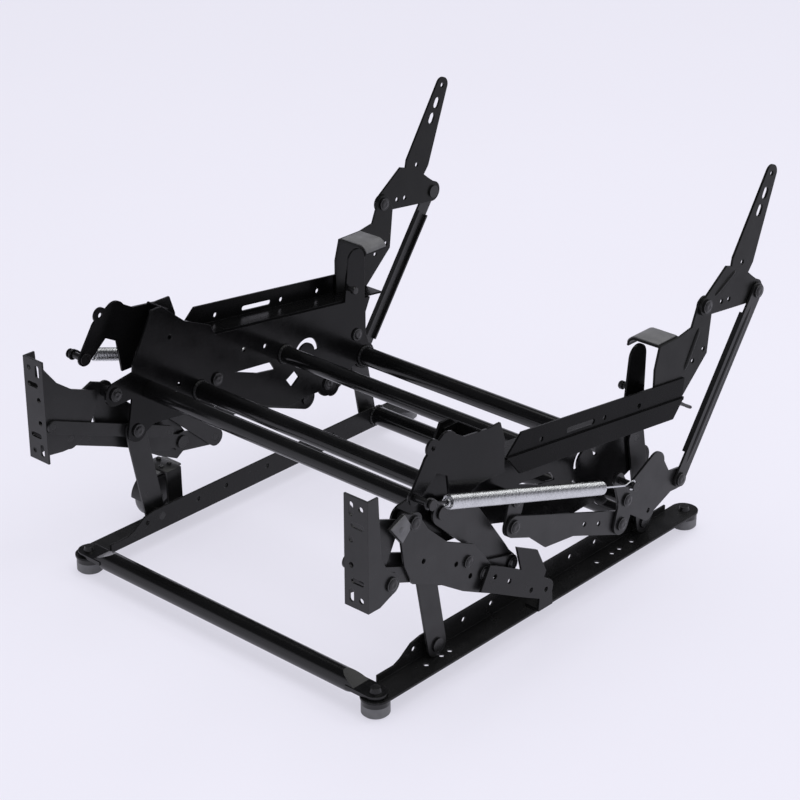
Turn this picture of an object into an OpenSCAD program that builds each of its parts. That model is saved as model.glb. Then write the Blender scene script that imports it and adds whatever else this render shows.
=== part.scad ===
// Recliner chair mechanism: a floor frame, a seat frame on four lift links,
// a fold-out footrest and two reclining back arms, all of black steel plate and tube.
// Millimetres, +Z up. The front faces -Y, and right is the +X side, as seen from the front.

/* [Floor frame] */
// Distance between the inner faces of the two rail webs
track_w = 439; // [420:1:460]
// Distance between front and rear foot centres
base_len = 578; // [570:1:600]
// Height of a rail's upright web
rail_h = 30; // [28:1:34]
// Width of a rail's flat flange, web included
rail_w = 35.5; // [33:0.5:36]
// Sheet thickness of the rails, seat rails and footrest brackets
rail_t = 2.5; // [2:0.1:2.8]
// Diameter of a foot
foot_d = 33; // [28:1:36]
// Height of a foot
foot_h = 20; // [16:1:26]
// Outer diameter of the floor frame tubes
base_tube_d = 25.4; // [22:0.2:27]
// Distance of the rear floor tube in front of the rear feet
base_rear_gap = 78; // [70:1:84]
// Thickness of a flattened tube end
tab_t = 5; // [4:0.5:6]

/* [Lift links] */
// Thickness of every link plate
link_t = 3; // [2.6:0.1:3.4]
// Distance between the two pivots of a lift link
lift_len = 127.5; // [122:0.5:132]
// Forward lean of the lift links at rest, in degrees
lift_lean = 11.3; // [9:0.1:13]
// Width of a lift link
lift_w = 30; // [24:1:32]
// Front lift pivot, behind the front feet
front_pivot_y = 105; // [102:1:110]
// Rear lift pivot, behind the front feet
rear_pivot_y = 495; // [490:1:500]
// Height of the lift pivots above the underside of the rails
pivot_rise = 18; // [17:0.5:20]

/* [Seat frame] */
// Fall of the seat rails to the rear, in degrees
seat_slope = 7.5; // [6:0.1:9]
// Height of the seat rail shelf at its front end
shelf_z = 253; // [248:1:258]
// Length of a seat rail
seat_rail_len = 338; // [330:1:345]
// Height of the upright seat flange
seat_flange_h = 25; // [20:1:30]
// Height of the lip under the outer edge of the seat rail
seat_lip_h = 24; // [18:1:28]
// Height of the flange that joins a seat rail to its side plate
seat_drop_h = 28; // [22:1:30]
// Diameter of the front and middle cross tubes
cross_tube_d = 22; // [18:0.5:24]
// Diameter of the rear cross tube
rear_tube_d = 25.4; // [22:0.2:27]

/* [Footrest] */
// Height of a footrest bracket
bracket_h = 132; // [126:1:140]
// Height of the middle of the bracket above the floor
bracket_z = 227; // [224:1:230]
// How far the bracket face stands in front of the front feet
bracket_front = 50; // [46:1:56]
// Length of the two parallel swing links, pivot to pivot
swing_len = 161.3; // [156:0.1:165]
// Downward angle of the swing links at rest, in degrees
swing_angle = 43.5; // [42:0.5:45]
// Distance between the lower pivot of the bracket and that of the tilt link
tilt_crank = 38; // [36:0.5:38]
// Diameter of the torque tube
torque_tube_d = 22; // [18:0.5:24]

/* [Back] */
// Distance of the back hinge behind the front feet
hinge_y = 558; // [554:1:562]
// Height of the back hinge above the floor
hinge_h = 316; // [312:1:322]
// Distance from the back hinge to the strut pivot behind it
back_crank = 104.9; // [100:0.1:110]
// Length of the back strut, pivot to pivot
strut_len = 250.9; // [246:0.1:254]
// Width of the back strut
strut_w = 21; // [19:0.5:23]
// Length of the back arm above its knee
arm_len = 112.5; // [106:0.1:136]
// Width of the back arm at its tip
arm_tip_w = 22; // [19:0.5:25]
// Width of the two slots near the tip of the back arm
arm_slot_w = 10; // [7:0.5:11]

/* [Springs] */
// Wire diameter of the return springs
wire_d = 2.2; // [1.8:0.1:2.6]
// Outer diameter of the return springs
spring_od = 17; // [15:0.5:18]
// Curls in each return spring
spring_curls = 44; // [36:1:44]

/* [Fits] */
// Shank diameter of the main pivot pins
pin_d = 10; // [9:0.2:11]
// Shank diameter of the small pivot pins
small_pin_d = 8; // [7:0.2:8.6]
// Radial clearance of a pin in its hole
pin_clear = 0.08; // [0.05:0.01:0.1]
// Gap between neighbouring plates
plate_gap = 1; // [0.8:0.1:1.4]
// Diameter of the mounting holes
mount_hole_d = 6.6; // [5.4:0.2:7.4]

/* [Hidden] */
$fn = 64;

black = [0.07, 0.07, 0.08];
zinc = [0.72, 0.73, 0.75];
grey = [0.24, 0.24, 0.26];

// Pin proportions
pin_r = pin_d / 2;
small_r = small_pin_d / 2;
head_r = pin_r + 3.5;
small_head_r = small_r + 3.5;
head_t = 2.5;
bush_r = pin_r + 2.5;
small_bush_r = small_r + 2;
stub_r = 8;
hub_r = 13;
mount_r = mount_hole_d / 2;
fit_r = pin_r + pin_clear;
small_fit = small_r + pin_clear;
// Air left beside a bush, so that the plate it guides can turn
bush_air = 0.1;

// Places of the plate layers on the +X side, from the rail web outwards
web_x = track_w / 2;
seat_x = web_x + rail_t + 6;
seat_out = seat_x + link_t;
lift_x = seat_out + plate_gap;
lift_out = lift_x + link_t;
tilt_x = lift_out + plate_gap;
drive_x = tilt_x + link_t + plate_gap;
arm_x = drive_x + link_t + plate_gap;
swing_x = arm_x + link_t + plate_gap;
swing_out = swing_x + link_t;
rocker_x = swing_out + head_t + plate_gap;
push_x = rocker_x + link_t + plate_gap;
crank_x = push_x + link_t + plate_gap;
crank_out = crank_x + link_t;
strut_x = crank_out + plate_gap;
strut_out = strut_x + link_t;
flange_x = strut_out + 2;
bracket_out = flange_x + rail_t;
shelf_out = push_x + link_t + rail_t;
spring_x = crank_out + 18.75;
post_out = spring_x + 5;

// Pivots in the side view, as [distance behind the front feet, height]
function turned(v, a) = [v[0] * cos(a) - v[1] * sin(a), v[0] * sin(a) + v[1] * cos(a)];
function along(p, q, f) = p + (q - p) * f;
function unit(v) = v / norm(v);
function side_of(p, q) = let (u = unit(q - p)) [-u[1], u[0]];
rail_z = foot_h;
base_rear_y = base_len - base_rear_gap;
foot_x = web_x + rail_w / 2;
lift_v = turned([0, lift_len], lift_lean);
front_base = [front_pivot_y, rail_z + pivot_rise];
rear_base = [rear_pivot_y, rail_z + pivot_rise];
front_top = front_base + lift_v;
rear_top = rear_base + lift_v;

// Footrest: two equal parallelograms, one above the other
torque_p = [102, 210];
swing_p = [48, 222];
swing_v = swing_len * [cos(swing_angle), -sin(swing_angle)];
swing_end = swing_p + swing_v;
drive_end = torque_p + swing_v;
bracket_y = -bracket_front;
bracket_low = bracket_z - bracket_h / 2;
bracket_top = bracket_z + bracket_h / 2;
arm_pivot = [bracket_y + 36, bracket_z - 45];
tilt_v = tilt_crank * unit(swing_p - swing_end);
tilt_end = swing_end + tilt_v;
tilt_pivot = arm_pivot + tilt_v;
// The arm is as wide as the tilt link's pivot beside it allows
arm_side = abs(side_of(swing_end, arm_pivot) * tilt_v) - small_r - 1;
tilt_side = 8;

// Back: hinge, strut pivot and the crank that runs parallel to them
hinge_p = [hinge_y, hinge_h];
hinge_r = 12;
crank_v = turned([back_crank, 0], -6);
strut_v = strut_len * unit([-144.7, -205]);
strut_top = hinge_p + crank_v;
strut_low = strut_top + strut_v;
crank_p = hinge_p + strut_v;
push_v = [-9, -29];
push_rear = crank_p + push_v;
rocker_p = [214, 186];
push_front = rocker_p + push_v;
knee_p = hinge_p + [71, 36];
arm_tip_r = arm_tip_w / 2;
arm_tip = knee_p + arm_len * unit([54, 105]);
spring_rear = crank_p + [-17, 33];
spring_front = [33, 263];

// Cross tubes
front_tube_p = [185, 181];
middle_tube_p = [335, 180];
rear_tube_p = [486, 127];

// The seat rail's shelf line
shelf_y = 184;
function shelf_at(y) = shelf_z - (y - shelf_y) * tan(seat_slope);
seat_rear_y = shelf_y + seat_rail_len * cos(seat_slope);
seat_tab = 4;

// The origin lies below the middle of the overall box
y_mid = (bracket_y + arm_tip[0] + arm_tip_r) / 2;

module placed() { translate([0, -y_mid, 0]) children(); }
module at_side(s) {
    placed() {
        if (s > 0) children();
        else mirror([1, 0, 0]) children();
    }
}
module both_sides() {
    at_side(1) children();
    at_side(-1) children();
}
// A side view outline made into a plate that starts at x and is t thick
module plate(x, t) { translate([x, 0, 0]) rotate([90, 0, 90]) linear_extrude(t) children(); }
module disc(p, r) { translate(p) circle(r); }
// A strip between two points, with a round end of its own radius at each
module strip(p, q, rp, rq) {
    n = side_of(p, q);
    disc(p, rp);
    disc(q, rq);
    polygon([p + n * rp, p - n * rp, q - n * rq, q + n * rq]);
}
module rod(p, x0, x1, r) { translate([x0, p[0], p[1]]) rotate([0, 90, 0]) cylinder(h = x1 - x0, r = r); }
// A pin from x0 to x1 with a head beyond x1, and a bush that keeps two plates apart
module pin(p, x0, x1, bush0, bush1) {
    rod(p, x0, x1 + head_t / 2, pin_r);
    rod(p, x1, x1 + head_t, head_r);
    rod(p, bush0, bush1, bush_r);
}
// The same pin with a second head, inside x0
module headed_pin(p, x0, x1, bush0, bush1) {
    pin(p, x0 - head_t / 2, x1, bush0, bush1);
    rod(p, x0 - head_t, x0, head_r);
}
// A post for a spring's end, riveted through the plate at crank_x
module spring_post(p) {
    rod(p, crank_x - head_t, crank_x, small_head_r);
    rod(p, crank_x - head_t / 2, post_out, small_r);
    rod(p, post_out, post_out + head_t / 2, small_bush_r);
}

// Floor frame
web_start = 20;
web_lip = 11;
rise_start = 48;
tab_r = 14;
// Screw holes: in the web from the middle of the rail, in the flange from the feet at either end
web_offsets = [-209, -123, -74, 0, 74, 123];
flange_front = [84, 110, 124];
flange_rear = [111, 136, 151, 181];
foot_bolt_r = 4;
foot_bolt_depth = 12;
bolt_head_r = 7.5;
bolt_head_h = 5;
// A rest beside the folded footrest, on the right rail only
rest_end = [272, 46];
rest_half = 13;
rest_holes = [[178, 103], [204, 86], [244, 57], rest_end];
module rest_plate(flange_mid) {
    disc(rest_end, rest_half);
    polygon([[153, 93], [176, 82], [225, 56], rest_end + [-7, -10], rest_end + [6, 4], rest_end + [2, 14],
        [232, 88], [194, 109], [169, 121]]);
    polygon([[228, 82], rest_end + [-6, 14], rest_end + [-1, 26], [254, 106], [216, 125]]);
    polygon([[rest_end[0] - rest_half, flange_mid], [rest_end[0] + rest_half, flange_mid],
        rest_end + [11, -2], rest_end + [-11, -2]]);
}
module base_rail(s) {
    web_top = rail_z + rail_h;
    flange_mid = rail_z + rail_t / 2;
    rise = [[web_start, rail_z + web_lip], [rise_start, rail_z + web_lip],
        [rise_start + 10, rail_z + web_lip + 4], [rise_start + 28, web_top - 3],
        [rise_start + 44, web_top]];
    flange_rows = concat(flange_front, [for (d = flange_rear) base_len - d]);
    at_side(s) color(black) difference() {
        union() {
            translate([0, 0, rail_z]) linear_extrude(rail_t) union() {
                translate([web_x, 0]) square([rail_w, base_len]);
                disc([foot_x, 0], rail_w / 2);
                disc([foot_x, base_len], rail_w / 2);
            }
            plate(web_x, rail_t) polygon(concat([[web_start, rail_z], [base_len - web_start, rail_z]],
                [for (p = rise) [base_len - p[0], p[1]]], [for (i = [len(rise) - 1:-1:0]) rise[i]]));
            if (s > 0) {
                plate(rocker_x, link_t) rest_plate(flange_mid);
                translate([foot_x, rest_end[0] - rest_half, flange_mid])
                    cube([rocker_x + link_t - foot_x, 2 * rest_half, rail_t / 2 + link_t]);
            }
        }
        for (d = web_offsets)
            rod([base_len / 2 + d, front_base[1]], web_x - rail_t, web_x + 2 * rail_t, mount_r);
        for (y = flange_rows)
            translate([foot_x, y, rail_z - rail_t]) cylinder(h = 3 * rail_t, r = mount_r);
        for (y = [0, base_len])
            translate([foot_x, y, rail_z - rail_t]) cylinder(h = 3 * rail_t, r = foot_bolt_r + pin_clear);
        for (p = [front_base, rear_base]) rod(p, web_x - rail_t, web_x + 2 * rail_t, fit_r);
        for (p = rest_holes) rod(p, rocker_x - link_t, rocker_x + 2 * link_t, mount_r);
    }
}
foot_edge = 2;
module foot_pads() {
    both_sides() color(grey) for (y = [0, base_len]) translate([foot_x, y, 0]) difference() {
        union() {
            cylinder(h = foot_edge, r1 = foot_d / 2 - foot_edge, r2 = foot_d / 2);
            translate([0, 0, foot_edge]) cylinder(h = foot_h - foot_edge, r = foot_d / 2);
        }
        translate([0, 0, foot_h - foot_bolt_depth])
            cylinder(h = foot_bolt_depth + 1, r = foot_bolt_r + pin_clear);
    }
}
module foot_bolts() {
    both_sides() color(grey) for (y = [0, base_len]) {
        seat_h = rail_z + rail_t + (y == 0 ? tab_t : 0);
        translate([foot_x, y, foot_h - foot_bolt_depth + 1])
            cylinder(h = seat_h - foot_h + foot_bolt_depth, r = foot_bolt_r);
        translate([foot_x, y, seat_h]) cylinder(h = bolt_head_h, r1 = bolt_head_r, r2 = bolt_head_r - 2);
    }
}
pinch_len = 24;
module base_front_tube() {
    axis_z = rail_z + rail_t + tab_t / 2;
    r = base_tube_d / 2;
    x_round = web_x - pinch_len - 4;
    x_flat = web_x - 4;
    placed() color(black) difference() {
        union() {
            intersection() {
                rod([0, axis_z], -x_flat - tab_t, x_flat + tab_t, r);
                translate([0, r, axis_z]) rotate([90, 0, 0]) linear_extrude(2 * r) polygon([
                    [-x_flat, tab_t / 2], [-x_round, r], [x_round, r], [x_flat, tab_t / 2],
                    [x_flat, -tab_t / 2], [x_round, -r], [-x_round, -r], [-x_flat, -tab_t / 2]]);
            }
            for (s = [-1, 1]) translate([0, 0, axis_z - tab_t / 2]) linear_extrude(tab_t) union() {
                disc([s * foot_x, 0], tab_r);
                translate([s > 0 ? x_flat - pinch_len / 2 : -foot_x, -tab_r])
                    square([foot_x - x_flat + pinch_len / 2, 2 * tab_r]);
            }
        }
        for (s = [-1, 1]) translate([s * foot_x, 0, rail_z])
            cylinder(h = base_tube_d, r = foot_bolt_r + pin_clear);
    }
}
module base_rear_tube() {
    placed() color(black) rod([base_rear_y, rail_z + rail_h / 2 + 1], -web_x, web_x, base_tube_d / 2);
}
module lift_base_pins() {
    both_sides() color(grey) for (p = [front_base, rear_base])
        pin(p, web_x, lift_out + bush_air, web_x + rail_t, lift_x - bush_air);
}

// Lift links
module lift_link(s, low, top) {
    at_side(s) color(black) plate(lift_x, link_t) difference() {
        strip(low, top, lift_w / 2, lift_w / 2);
        for (p = [low, top]) disc(p, fit_r);
    }
}

// Seat frame
lobe_r = 18;
arc_r = 19;
arc_w = 7;
arc_p = [374, 166];
finger_top = [471, 269];
finger_r = 16;
hump_y = 150;
plate_rear = 488;
hump_z = 311;
module seat_outline() {
    polygon([[front_top[0] - 14, front_top[1] + 4], [front_top[0] + 10, front_top[1] - 8],
        [front_top[0] + 28, front_tube_p[1] - lobe_r],
        [front_tube_p[0] + lobe_r, front_tube_p[1] - 30], middle_tube_p + [-60, -52],
        middle_tube_p + [2, -76], crank_p + [-30, -6], crank_p + [2, -8], rear_tube_p + [12, 4],
        [plate_rear, 160], [plate_rear, 190],
        [plate_rear + 9, shelf_at(plate_rear + 9) - rail_t], [214, shelf_at(214) - rail_t],
        [206, 262], [hump_y + 14, hump_z - 30], [hump_y - 22, hump_z], [hump_y - 38, hump_z],
        [torque_p[0] - 24, 250], [torque_p[0] - 28, swing_p[1] - 14]]);
    disc(front_top, hub_r + 2);
    disc(crank_p, lobe_r);
    disc(rear_tube_p, lobe_r);
    disc(rocker_p, hub_r + 2);
    strip(swing_p, [torque_p[0] - 4, torque_p[1] + 16], hub_r + 2, lobe_r);
    strip([466, shelf_at(466) - 24], finger_top, finger_r + 4, finger_r);
}
module seat_plate(s) {
    at_side(s) color(black) plate(seat_x, link_t) difference() {
        seat_outline();
        for (p = [front_top, rear_top, swing_p, rocker_p, crank_p]) disc(p, fit_r);
        disc(torque_p, stub_r + pin_clear);
        difference() {
            disc(arc_p, arc_r + arc_w / 2);
            disc(arc_p, arc_r - arc_w / 2);
            translate(arc_p - [0, 3 * arc_r]) square(3 * arc_r);
            translate(arc_p - [3 * arc_r, 3 * arc_r]) square([3 * arc_r, 3 * arc_r - arc_r / 4]);
        }
        for (p = [[150, 200], [262, 210], [300, 202], [138, 268]]) disc(p, mount_r);
        polygon([[246, 184], [286, 169], [316, 164], [308, 177]]);
        polygon([[336, 142], [346, 128], [360, 138], [352, 150]]);
    }
}
flange_slot = 46;
drop_back = 34;
module seat_rail(s) {
    slot_a = [112, 8];
    at_side(s) color(black) translate([0, shelf_y, shelf_z]) rotate([-seat_slope, 0, 0]) difference() {
        union() {
            translate([seat_out, 0, -seat_drop_h]) cube([rail_t, seat_rail_len - drop_back, seat_drop_h]);
            translate([seat_out, 0, -rail_t])
                cube([shelf_out - seat_out, seat_rail_len + seat_tab, rail_t]);
            plate(shelf_out - rail_t, rail_t) polygon([[0, -rail_t], [24, seat_flange_h],
                [seat_rail_len, seat_flange_h], [seat_rail_len, -rail_t]]);
            plate(shelf_out, rail_t) polygon([[0, 0], [26, -seat_lip_h],
                [seat_rail_len - drop_back / 2, -seat_lip_h], [seat_rail_len, 0]]);
            translate([shelf_out - rail_t, 0, -rail_t]) cube([2 * rail_t, seat_rail_len, rail_t]);
        }
        plate(shelf_out - 2 * rail_t, 3 * rail_t) {
            strip(slot_a, slot_a + [flange_slot, 0], mount_r, mount_r);
            disc(slot_a + [flange_slot + 22, 0], mount_r);
            disc([slot_a[0] - 50, slot_a[1]], mount_r);
            disc([seat_rail_len - 90, slot_a[1]], mount_r);
        }
    }
}
front_web_y = 140;
front_web_low = 266;
front_web_high = 304;
ear_p = [61, 311];
front_foot = 24;
front_end = 180;
module front_plate(s) {
    at_side(s) color(black) difference() {
        union() {
            plate(crank_x, link_t) {
                strip(spring_front, [60, 293], 9, 15);
                strip([60, 293], [84, 306], 15, 16);
                disc(ear_p, 10);
                polygon([[64, 281], [84, 270], [90, 228], [106, 228], [front_web_y, 240], [front_end, 238],
                    [front_end, 277], [172, 301], [150, 301], [112, 306], [84, 322]]);
            }
            translate([seat_out, front_web_y - rail_t, front_web_low])
                cube([crank_out - seat_out, rail_t, front_web_high - front_web_low]);
            translate([seat_out, front_web_y - front_foot, front_web_low])
                cube([rail_t, front_foot, front_web_high - front_web_low]);
        }
        rod(spring_front, crank_x - 1, crank_out + 1, small_fit);
        rod(ear_p, crank_x - 1, crank_out + 1, mount_r);
    }
}
stop_top = 290;
stop_y = 468;
stop_len = 44;
stop_w = 34;
curl_r = 12;
module hinge_plate(s) {
    foot_y = 464;
    rear_y = seat_rear_y + seat_tab;
    at_side(s) color(black) difference() {
        union() {
            plate(push_x, link_t) {
                polygon([[rear_y, shelf_at(rear_y)], hinge_p + [12, -66], hinge_p + [18, -10],
                    hinge_p + [hinge_r, 2], hinge_p + [-hinge_r, 2], hinge_p + [-22, -22],
                    [stop_y + stop_len, stop_top],
                    [stop_y + 4, stop_top], [foot_y, 262], [foot_y, shelf_at(foot_y)]]);
                disc(hinge_p, hinge_r);
            }
            translate([push_x - stop_w, stop_y + 4, stop_top - rail_t])
                cube([stop_w, stop_len - 4, rail_t]);
            translate([push_x - stop_w, stop_y + 4, stop_top - curl_r]) rotate([-90, 0, 0])
                linear_extrude(stop_len - 4) difference() {
                    circle(curl_r);
                    circle(curl_r - rail_t);
                    translate([0, -2 * curl_r]) square(4 * curl_r);
                    translate([-2 * curl_r, 0]) square(4 * curl_r);
                }
        }
        plate(push_x - 1, link_t + 2) {
            disc(hinge_p, fit_r);
            disc(hinge_p + [-17, -67], mount_r);
            disc(hinge_p + [4, -58], mount_r);
        }
    }
}
module cross_tube(p, d) { placed() color(black) rod(p, -seat_x, seat_x, d / 2); }
module lift_top_pins() {
    both_sides() color(grey) for (p = [front_top, rear_top]) {
        rod(p, seat_x - head_t, seat_x, head_r);
        rod(p, seat_x - head_t / 2, lift_out, pin_r);
        rod(p, seat_out, lift_x - bush_air, bush_r);
    }
}
module link_pivot_pins() {
    both_sides() color(grey) {
        headed_pin(swing_p, seat_x, swing_out + bush_air, seat_out, swing_x - bush_air);
        headed_pin(rocker_p, seat_x, rocker_x + link_t + bush_air, seat_out, rocker_x - bush_air);
        headed_pin(crank_p, seat_x, crank_out + bush_air, seat_out, crank_x - bush_air);
    }
}
module back_hinge_pins() {
    both_sides() color(grey)
        headed_pin(hinge_p, push_x, crank_out + bush_air, push_x + link_t, crank_x - bush_air);
}
module spring_posts() { both_sides() color(grey) spring_post(spring_front); }

// Footrest
module torque_tube() {
    placed() color(black) {
        rod(torque_p, -seat_x + plate_gap / 2, seat_x - plate_gap / 2, torque_tube_d / 2);
        rod(torque_p, -drive_x - link_t - head_t, drive_x + link_t + head_t, stub_r);
    }
}
module drive_link(s) {
    at_side(s) color(black) plate(drive_x, link_t) difference() {
        union() {
            strip(torque_p, drive_end, hub_r + 2, hub_r - 1);
            polygon([drive_end + [-4, 6], drive_end + [8, 5], drive_end + [-6, 26],
                torque_p + [64, -20], torque_p + [38, 0], torque_p + [6, 10], torque_p + [6, -4]]);
        }
        disc(torque_p, stub_r + pin_clear);
        disc(drive_end, fit_r);
    }
}
module drive_link_pins() {
    both_sides() color(grey)
        pin(drive_end, drive_x, arm_x + link_t + bush_air, drive_x + link_t, arm_x - bush_air);
}
module swing_link(s) {
    at_side(s) color(black) plate(swing_x, link_t) difference() {
        union() {
            disc(swing_p, hub_r - 1);
            disc(swing_end, hub_r + 1);
            polygon([swing_p + [-21, -17], swing_p + [-16, -47], swing_p + [-3, -74],
                swing_p + [42, -94], swing_end + [-36, -8], swing_end + [-6, -23],
                swing_end + [8, -14], swing_end + [12, 6], swing_end + [1, 22], tilt_end + [10, 18],
                along(swing_p, swing_end, 0.45) + [2, 4], swing_p + [22, -16], swing_p + [6, 8],
                swing_p + [-18, 17], swing_p + [-40, 7]]);
        }
        for (p = [swing_p, swing_end]) disc(p, fit_r);
        disc(tilt_end, small_fit);
        for (p = [swing_p + [15, -53], tilt_end + [-20, 5], swing_end + [-23, 6]]) disc(p, mount_r);
    }
}
module swing_pins(s) {
    at_side(s) color(grey) {
        headed_pin(swing_end, arm_x - bush_air, swing_out, arm_x + link_t + bush_air, swing_x);
        rod(tilt_end, tilt_x, swing_out + head_t / 2, small_r);
        rod(tilt_end, swing_out, swing_out + head_t, small_head_r);
    }
}
module footrest_arm(s) {
    low_side = -arm_side - 5;
    n = side_of(arm_pivot, swing_end);
    at_side(s) color(black) plate(arm_x, link_t) difference() {
        union() {
            strip(arm_pivot, swing_end, arm_side, arm_side);
            strip(swing_end, drive_end, hub_r, hub_r - 2);
            disc(arm_pivot, hub_r - 1);
            polygon([along(arm_pivot, swing_end, 0.6) + n * low_side,
                along(arm_pivot, swing_end, 0.9) + n * low_side,
                along(arm_pivot, swing_end, 0.95) + n * 2, along(arm_pivot, swing_end, 0.3) + n * 2]);
        }
        for (p = [swing_end, drive_end, arm_pivot]) disc(p, fit_r);
    }
}
module tilt_link(s) {
    at_side(s) color(black) plate(tilt_x, link_t) difference() {
        strip(tilt_end, tilt_pivot, tilt_side, tilt_side);
        for (p = [tilt_end, tilt_pivot]) disc(p, small_fit);
    }
}
// Mounting holes of the bracket face, as [distance from the outer edge, height from the middle]
outer_row = 10;
middle_row = 15;
inner_row = 24;
module face_holes() {
    for (e = [-1, 1]) {
        strip([inner_row, e * 46], [inner_row, e * 56], mount_r, mount_r);
        strip([middle_row - 6, e * 33], [middle_row + 6, e * 33], mount_r, mount_r);
        disc([inner_row, e * 15], mount_r);
        disc([outer_row, e * 54], mount_r);
    }
}
module footrest_bracket(s) {
    at_side(s) color(black) difference() {
        union() {
            translate([drive_x, bracket_y, bracket_low]) cube([bracket_out - drive_x, rail_t, bracket_h]);
            plate(flange_x, rail_t) {
                polygon([[bracket_y, bracket_low], [bracket_y, bracket_top], [bracket_y + 16, bracket_top],
                    [bracket_y + 20, bracket_z - 8], [bracket_y + 30, bracket_z - 26], arm_pivot + [9, 8],
                    arm_pivot + [4, -12], [bracket_y + 18, bracket_low]]);
                disc(arm_pivot, hub_r);
            }
            plate(drive_x, rail_t) {
                polygon([[bracket_y, bracket_z - 54], [bracket_y, bracket_top - 6],
                    [bracket_y + 6, bracket_top - 14], [bracket_y + 20, bracket_top - 32],
                    [bracket_y + 42, bracket_top - 48],
                    [bracket_y + 78, bracket_top - 62], [bracket_y + 80, bracket_z - 12],
                    [bracket_y + 62, bracket_z - 46], arm_pivot + [4, -12], arm_pivot + [-14, -12]]);
                disc(arm_pivot, hub_r);
            }
        }
        translate([bracket_out, bracket_y + 2 * rail_t, bracket_z]) rotate([90, 0, 0])
            linear_extrude(4 * rail_t) mirror([1, 0]) face_holes();
        rod(arm_pivot, drive_x - 1, bracket_out + 1, fit_r);
        rod(tilt_pivot, drive_x - 1, drive_x + rail_t + 1, small_fit);
    }
}
module bracket_pins(s) {
    at_side(s) color(grey) {
        pin(arm_pivot, drive_x, bracket_out, arm_x + link_t + bush_air, flange_x);
        rod(arm_pivot, drive_x + rail_t, arm_x - bush_air, bush_r);
        rod(tilt_pivot, tilt_x, drive_x + rail_t, small_r);
        rod(tilt_pivot, tilt_x + link_t + bush_air, drive_x, small_bush_r);
    }
}

// Back arms and the linkage behind the seat
module back_arm(s) {
    up = unit(arm_tip - knee_p);
    n = side_of(knee_p, arm_tip);
    at_side(s) color(black) plate(crank_x, link_t) difference() {
        union() {
            strip(hinge_p, strut_top, hinge_r, hinge_r + 2);
            disc(arm_tip, arm_tip_r);
            polygon([hinge_p + [8, -6], strut_top + [2, -6], strut_top + [10, 8], strut_top + [-8, 21],
                knee_p - n * 21 - up * 9, knee_p - n * 24 + up * 5, arm_tip - n * arm_tip_r,
                arm_tip + n * arm_tip_r, knee_p + n * 23 + up, knee_p + n * 20 - up * 9,
                knee_p + n * 31 - up * 11, hinge_p + [-6, 10]]);
        }
        disc(hinge_p, fit_r);
        disc(strut_top, fit_r);
        disc(arm_tip, mount_r);
        for (d = [22, 44]) strip(arm_tip - up * d, arm_tip - up * (d + 6), arm_slot_w / 2, arm_slot_w / 2);
        disc(knee_p, mount_r);
        for (f = [0.3, 0.45]) disc(along(hinge_p, strut_top, f), mount_r);
    }
}
// Flat ends on a channel whose lips point inwards, clear of the plates at both pivots
lip_start = 34;
lip_t = 2.5;
module strut(s) {
    n = side_of(strut_top, strut_low) * (strut_w - lip_t) / 2;
    u = unit(strut_low - strut_top) * lip_start;
    at_side(s) color(black) {
        plate(strut_x, link_t) difference() {
            strip(strut_top, strut_low, strut_w / 2, strut_w / 2);
            for (p = [strut_top, strut_low]) disc(p, fit_r);
        }
        for (e = [-1, 1]) plate(crank_x, strut_x + link_t / 2 - crank_x)
            strip(strut_top + u + n * e, strut_low - u + n * e, lip_t / 2, lip_t / 2);
    }
}
module strut_pins(s) {
    at_side(s) color(grey)
        headed_pin(strut_top, crank_x, strut_out + bush_air, crank_out, strut_x - bush_air);
}
crank_lobe = [45, -32];
module rear_crank(s) {
    at_side(s) color(black) plate(crank_x, link_t) difference() {
        union() {
            strip(crank_p, strut_low, hub_r + 4, hub_r + 1);
            strip(crank_p + [1, 1], push_rear, hub_r + 3, hub_r + 1);
            strip(crank_p + [-2, 2], spring_rear, hub_r, small_r + 5);
            strip(crank_p + [4, -2], crank_p + crank_lobe, hub_r + 2, hub_r);
            polygon([crank_p + [20, -4], crank_p + crank_lobe + [4, -8],
                strut_low + [-6, -10], strut_low + [-20, 4]]);
            strip(crank_p + [10, 4], crank_p + [57, 25], hub_r + 2, hub_r + 4);
            polygon([crank_p + [40, 2], strut_low + [-12, 2], strut_low + [-16, 12], crank_p + [68, 34]]);
        }
        disc(crank_p, fit_r);
        disc(push_rear, fit_r);
        disc(strut_low, fit_r);
        disc(spring_rear, small_fit);
        disc(crank_p + crank_lobe, mount_r);
    }
}
module crank_pins(s) {
    at_side(s) color(grey) {
        headed_pin(strut_low, crank_x, strut_out + bush_air, crank_out, strut_x - bush_air);
        headed_pin(push_rear, push_x - bush_air, crank_out, push_x + link_t + bush_air, crank_x);
        spring_post(spring_rear);
    }
}
module push_link(s) {
    at_side(s) color(black) plate(push_x, link_t) difference() {
        union() {
            strip(push_rear, push_front, hub_r + 2, hub_r);
            polygon([push_front + [58, -50], push_rear + [-70, 16], push_rear + [-8, -12],
                push_rear + [-6, 6], push_rear + [-30, 18], push_front + [34, -4], push_front + [6, -6]]);
        }
        for (p = [push_rear, push_front]) disc(p, fit_r);
        for (f = [0.2, 0.34]) disc(along(push_rear, push_front, f), mount_r);
    }
}
module rocker(s) {
    at_side(s) color(black) plate(rocker_x, link_t) difference() {
        strip(rocker_p, push_front, hub_r + 1, hub_r);
        for (p = [rocker_p, push_front]) disc(p, fit_r);
    }
}
module rocker_pins(s) {
    at_side(s) color(grey)
        headed_pin(push_front, rocker_x, push_x + link_t + bush_air, rocker_x + link_t, push_x - bush_air);
}

// Return spring: one wire that leaves each post straight, opens to the coil and closes again
coil_rings = 8;
wire_sides = 6;
post_air = 0.3;
front_hook = 24;
rear_hook = 56;
spring_axis = unit(spring_rear - spring_front);
spring_run = norm(spring_rear - spring_front) - 2 * (small_r + post_air);
coil_r = (spring_od - wire_d) / 2;
coil_len = spring_run - front_hook - rear_hook;
opening_turns = 1;
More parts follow.
